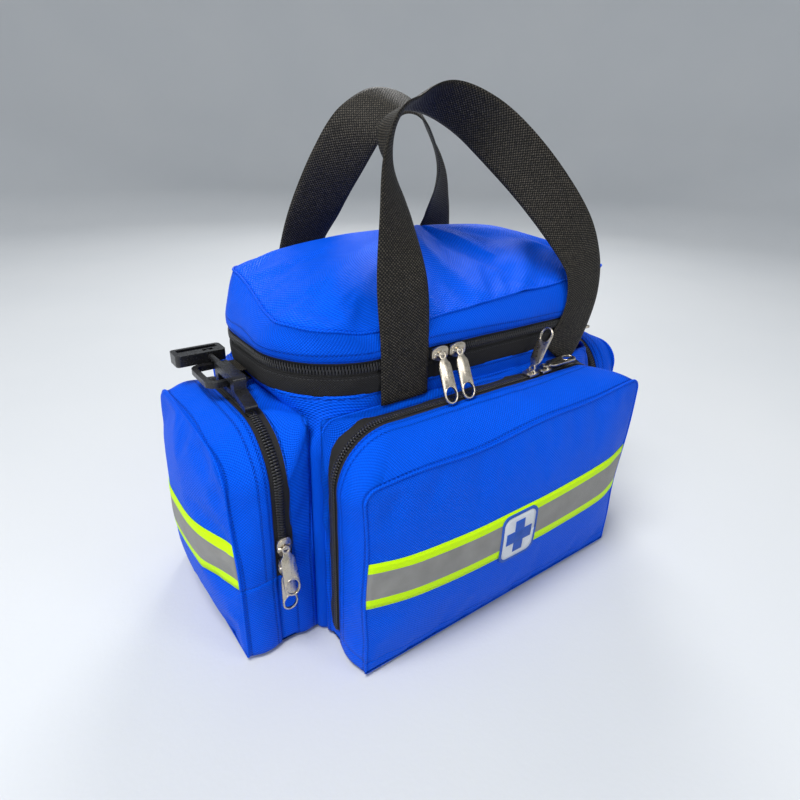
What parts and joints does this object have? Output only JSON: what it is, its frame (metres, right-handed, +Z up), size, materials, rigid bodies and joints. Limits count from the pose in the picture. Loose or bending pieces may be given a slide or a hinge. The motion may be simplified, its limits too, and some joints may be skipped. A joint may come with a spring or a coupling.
{
  "type": "medic bag",
  "caption": "Soft box-shaped medic bag with a zipped padded lid, zipped outer pockets, reflective stripes, webbing carry handles and a strap hook.",
  "frame": {"origin": "centre of the base, on the surface the bag stands on", "axes": "+X along the bag to its right, +Y to the rear, +Z up"},
  "size_m": [0.399, 0.2537, 0.3645],
  "materials": {
    "nylon_blue": "woven, matt",
    "band_black": "matt",
    "zip_black": "coil zip, satin",
    "webbing_black": "woven webbing",
    "patch_white": "embroidered",
    "plastic_black": "moulded",
    "reflective_tape": "lime edges, silver centre",
    "zip_metal": "nickel plated"
  },
  "bodies": {
    "bag": {"floor_panel": "nylon_blue", "front_wall": "nylon_blue", "rear_wall": "nylon_blue", "left_wall": "nylon_blue", "right_wall": "nylon_blue", "collar": "nylon_blue", "zip_band": "band_black", "main_zip_lower": "zip_black", "lid_hinge_tape": "band_black", "pocket_inner_zips": "zip_black", "strap_tabs": "webbing_black", "front_pocket_base": "nylon_blue", "rear_pocket_base": "nylon_blue", "left_pocket_base": "nylon_blue", "right_pocket_base": "nylon_blue"},
    "front_handle": {"front_handle": "webbing_black"},
    "rear_handle": {"rear_handle": "webbing_black"},
    "lid": {"lid_gusset": "nylon_blue", "lid_top": "nylon_blue", "main_zip_upper": "zip_black"},
    "left_ring": {"left_d_ring": "plastic_black"},
    "right_ring": {"right_d_ring": "plastic_black"},
    "hook": {"snap_hook": "plastic_black"},
    "slot_frame": {"strap_slot": "plastic_black"},
    "front_flap": {"front_pocket_gusset": "nylon_blue", "front_pocket_face": "nylon_blue", "front_pocket_zip": "zip_black", "front_stripe": "reflective_tape", "patch": "patch_white"},
    "rear_flap": {"rear_pocket_gusset": "nylon_blue", "rear_pocket_face": "nylon_blue", "rear_pocket_zip": "zip_black"},
    "left_flap": {"left_pocket_gusset": "nylon_blue", "left_pocket_face": "nylon_blue", "left_pocket_zip": "zip_black", "left_stripe": "reflective_tape"},
    "right_flap": {"right_pocket_gusset": "nylon_blue", "right_pocket_face": "nylon_blue", "right_pocket_zip": "zip_black", "right_stripe": "reflective_tape"},
    "main_left_slider_body": {"main_left_slider": "zip_metal"},
    "main_left_pull_body": {"main_left_pull": "zip_metal"},
    "main_right_slider_body": {"main_right_slider": "zip_metal"},
    "main_right_pull_body": {"main_right_pull": "zip_metal"},
    "front_a_slider_body": {"front_a_slider": "zip_metal"},
    "front_a_pull_body": {"front_a_pull": "zip_metal"},
    "front_b_slider_body": {"front_b_slider": "zip_metal"},
    "front_b_pull_body": {"front_b_pull": "zip_metal"},
    "rear_a_slider_body": {"rear_a_slider": "zip_metal"},
    "rear_a_pull_body": {"rear_a_pull": "zip_metal"},
    "rear_b_slider_body": {"rear_b_slider": "zip_metal"},
    "rear_b_pull_body": {"rear_b_pull": "zip_metal"},
    "left_a_slider_body": {"left_a_slider": "zip_metal"},
    "left_a_pull_body": {"left_a_pull": "zip_metal"},
    "left_b_slider_body": {"left_b_slider": "zip_metal"},
    "left_b_pull_body": {"left_b_pull": "zip_metal"},
    "right_a_slider_body": {"right_a_slider": "zip_metal"},
    "right_a_pull_body": {"right_a_pull": "zip_metal"},
    "right_b_slider_body": {"right_b_slider": "zip_metal"},
    "right_b_pull_body": {"right_b_pull": "zip_metal"}
  },
  "joints": [
    {"name": "lid_hinge", "type": "hinge", "parent": "bag", "child": "lid", "pos_m": [0, 0.0753, 0.2005], "axis": [-1, 0, 0], "range_deg": [0, 105]},
    {"name": "rear_handle_fold", "type": "hinge", "parent": "bag", "child": "rear_handle", "pos_m": [0, 0.0774, 0.173], "axis": [-1, 0, 0], "range_deg": [0, 72]},
    {"name": "front_handle_fold", "type": "hinge", "parent": "bag", "child": "front_handle", "pos_m": [0, -0.0774, 0.173], "axis": [1, 0, 0], "range_deg": [0, 35]},
    {"name": "front_flap_hinge", "type": "hinge", "parent": "bag", "child": "front_flap", "pos_m": [0, -0.1268, 0.0118], "axis": [1, 0, 0], "range_deg": [0, 90]},
    {"name": "rear_flap_hinge", "type": "hinge", "parent": "bag", "child": "rear_flap", "pos_m": [0, 0.1268, 0.0118], "axis": [-1, 0, 0], "range_deg": [0, 90]},
    {"name": "left_flap_hinge", "type": "hinge", "parent": "bag", "child": "left_flap", "pos_m": [-0.1998, 0, 0.0618], "axis": [0, -1, 0], "range_deg": [0, 90]},
    {"name": "right_flap_hinge", "type": "hinge", "parent": "bag", "child": "right_flap", "pos_m": [0.1998, 0, 0.0618], "axis": [0, 1, 0], "range_deg": [0, 90]},
    {"name": "main_left_travel", "type": "slide", "parent": "bag", "child": "main_left_slider_body", "axis": [1, 0, 0], "range_m": [0, 0.027]},
    {"name": "main_left_pull_swing", "type": "hinge", "parent": "main_left_slider_body", "child": "main_left_pull_body", "pos_m": [-0.04, -0.081, 0.2005], "axis": [-1, 0, 0], "range_deg": [-8, 100]},
    {"name": "main_right_travel", "type": "slide", "parent": "bag", "child": "main_right_slider_body", "axis": [1, 0, 0], "range_m": [0, 0.03]},
    {"name": "main_right_pull_swing", "type": "hinge", "parent": "main_right_slider_body", "child": "main_right_pull_body", "pos_m": [-0.0245, -0.081, 0.2005], "axis": [-1, 0, 0], "range_deg": [-8, 100]},
    {"name": "front_a_travel", "type": "slide", "parent": "bag", "child": "front_a_slider_body", "axis": [1, 0, 0], "range_m": [-0.02, 0]},
    {"name": "front_a_pull_swing", "type": "hinge", "parent": "front_a_slider_body", "child": "front_a_pull_body", "pos_m": [0.046, -0.0865, 0.1731], "axis": [0, -1, 0], "range_deg": [-20, 35]},
    {"name": "front_b_travel", "type": "slide", "parent": "bag", "child": "front_b_slider_body", "axis": [1, 0, 0], "range_m": [0, 0.022]},
    {"name": "front_b_pull_swing", "type": "hinge", "parent": "front_b_slider_body", "child": "front_b_pull_body", "pos_m": [0.0605, -0.0865, 0.1731], "axis": [0, -1, 0], "range_deg": [0, 3]},
    {"name": "rear_a_travel", "type": "slide", "parent": "bag", "child": "rear_a_slider_body", "axis": [1, 0, 0], "range_m": [0, 0.013]},
    {"name": "rear_a_pull_swing", "type": "hinge", "parent": "rear_a_slider_body", "child": "rear_a_pull_body", "pos_m": [0.014, 0.0865, 0.1731], "axis": [0, -1, 0], "range_deg": [0, 20]},
    {"name": "rear_b_travel", "type": "slide", "parent": "bag", "child": "rear_b_slider_body", "axis": [1, 0, 0], "range_m": [-0.01, 0]},
    {"name": "rear_b_pull_swing", "type": "hinge", "parent": "rear_b_slider_body", "child": "rear_b_pull_body", "pos_m": [-0.002, 0.0865, 0.1731], "axis": [0, 1, 0], "range_deg": [0, 20]},
    {"name": "right_a_travel", "type": "slide", "parent": "bag", "child": "right_a_slider_body", "axis": [0, 1, 0], "range_m": [-0.007, 0]},
    {"name": "right_a_pull_swing", "type": "hinge", "parent": "right_a_slider_body", "child": "right_a_pull_body", "pos_m": [0.1565, -0.02, 0.1731], "axis": [-1, 0, 0], "range_deg": [0, 60]},
    {"name": "right_b_travel", "type": "slide", "parent": "bag", "child": "right_b_slider_body", "axis": [0, 1, 0], "range_m": [0, 0.024]},
    {"name": "right_b_pull_swing", "type": "hinge", "parent": "right_b_slider_body", "child": "right_b_pull_body", "pos_m": [0.1565, -0.004, 0.1731], "axis": [1, 0, 0], "range_deg": [0, 3]},
    {"name": "left_a_travel", "type": "slide", "parent": "bag", "child": "left_a_slider_body", "axis": [0, 0, 1], "range_m": [0, 0.036]},
    {"name": "left_a_pull_swing", "type": "hinge", "parent": "left_a_slider_body", "child": "left_a_pull_body", "pos_m": [-0.1565, -0.0726, 0.0865], "axis": [-1, 0, 0], "range_deg": [-2, 100]},
    {"name": "left_b_travel", "type": "slide", "parent": "bag", "child": "left_b_slider_body", "axis": [0, 0, 1], "range_m": [0, 0.018]},
    {"name": "left_b_pull_swing", "type": "hinge", "parent": "left_b_slider_body", "child": "left_b_pull_body", "pos_m": [-0.1565, -0.0726, 0.0705], "axis": [-1, 0, 0], "range_deg": [-2, 8]},
    {"name": "left_ring_swing", "type": "hinge", "parent": "bag", "child": "left_ring", "pos_m": [-0.148, 0.012, 0.1805], "axis": [0, 1, 0], "range_deg": [0, 20]},
    {"name": "right_ring_swing", "type": "hinge", "parent": "bag", "child": "right_ring", "pos_m": [0.148, 0.028, 0.1805], "axis": [0, -1, 0], "range_deg": [0, 60]},
    {"name": "hook_yaw", "type": "hinge", "parent": "left_ring", "child": "hook", "pos_m": [-0.1572, -0.005, 0.1805], "axis": [0, 0, 1], "range_deg": [0, 5]},
    {"name": "slot_swivel", "type": "hinge", "parent": "hook", "child": "slot_frame", "pos_m": [-0.1572, 0.038, 0.186], "axis": [0, 1, 0], "range_deg": [0, 12]}
  ],
  "couplings": [
    {"joint": "rear_handle_fold", "follows": "lid_hinge", "ratio": 0.68},
    {"joint": "left_b_travel", "follows": "left_a_travel", "ratio": 0.5},
    {"joint": "main_left_travel", "follows": "main_right_travel", "ratio": 0.9}
  ]
}
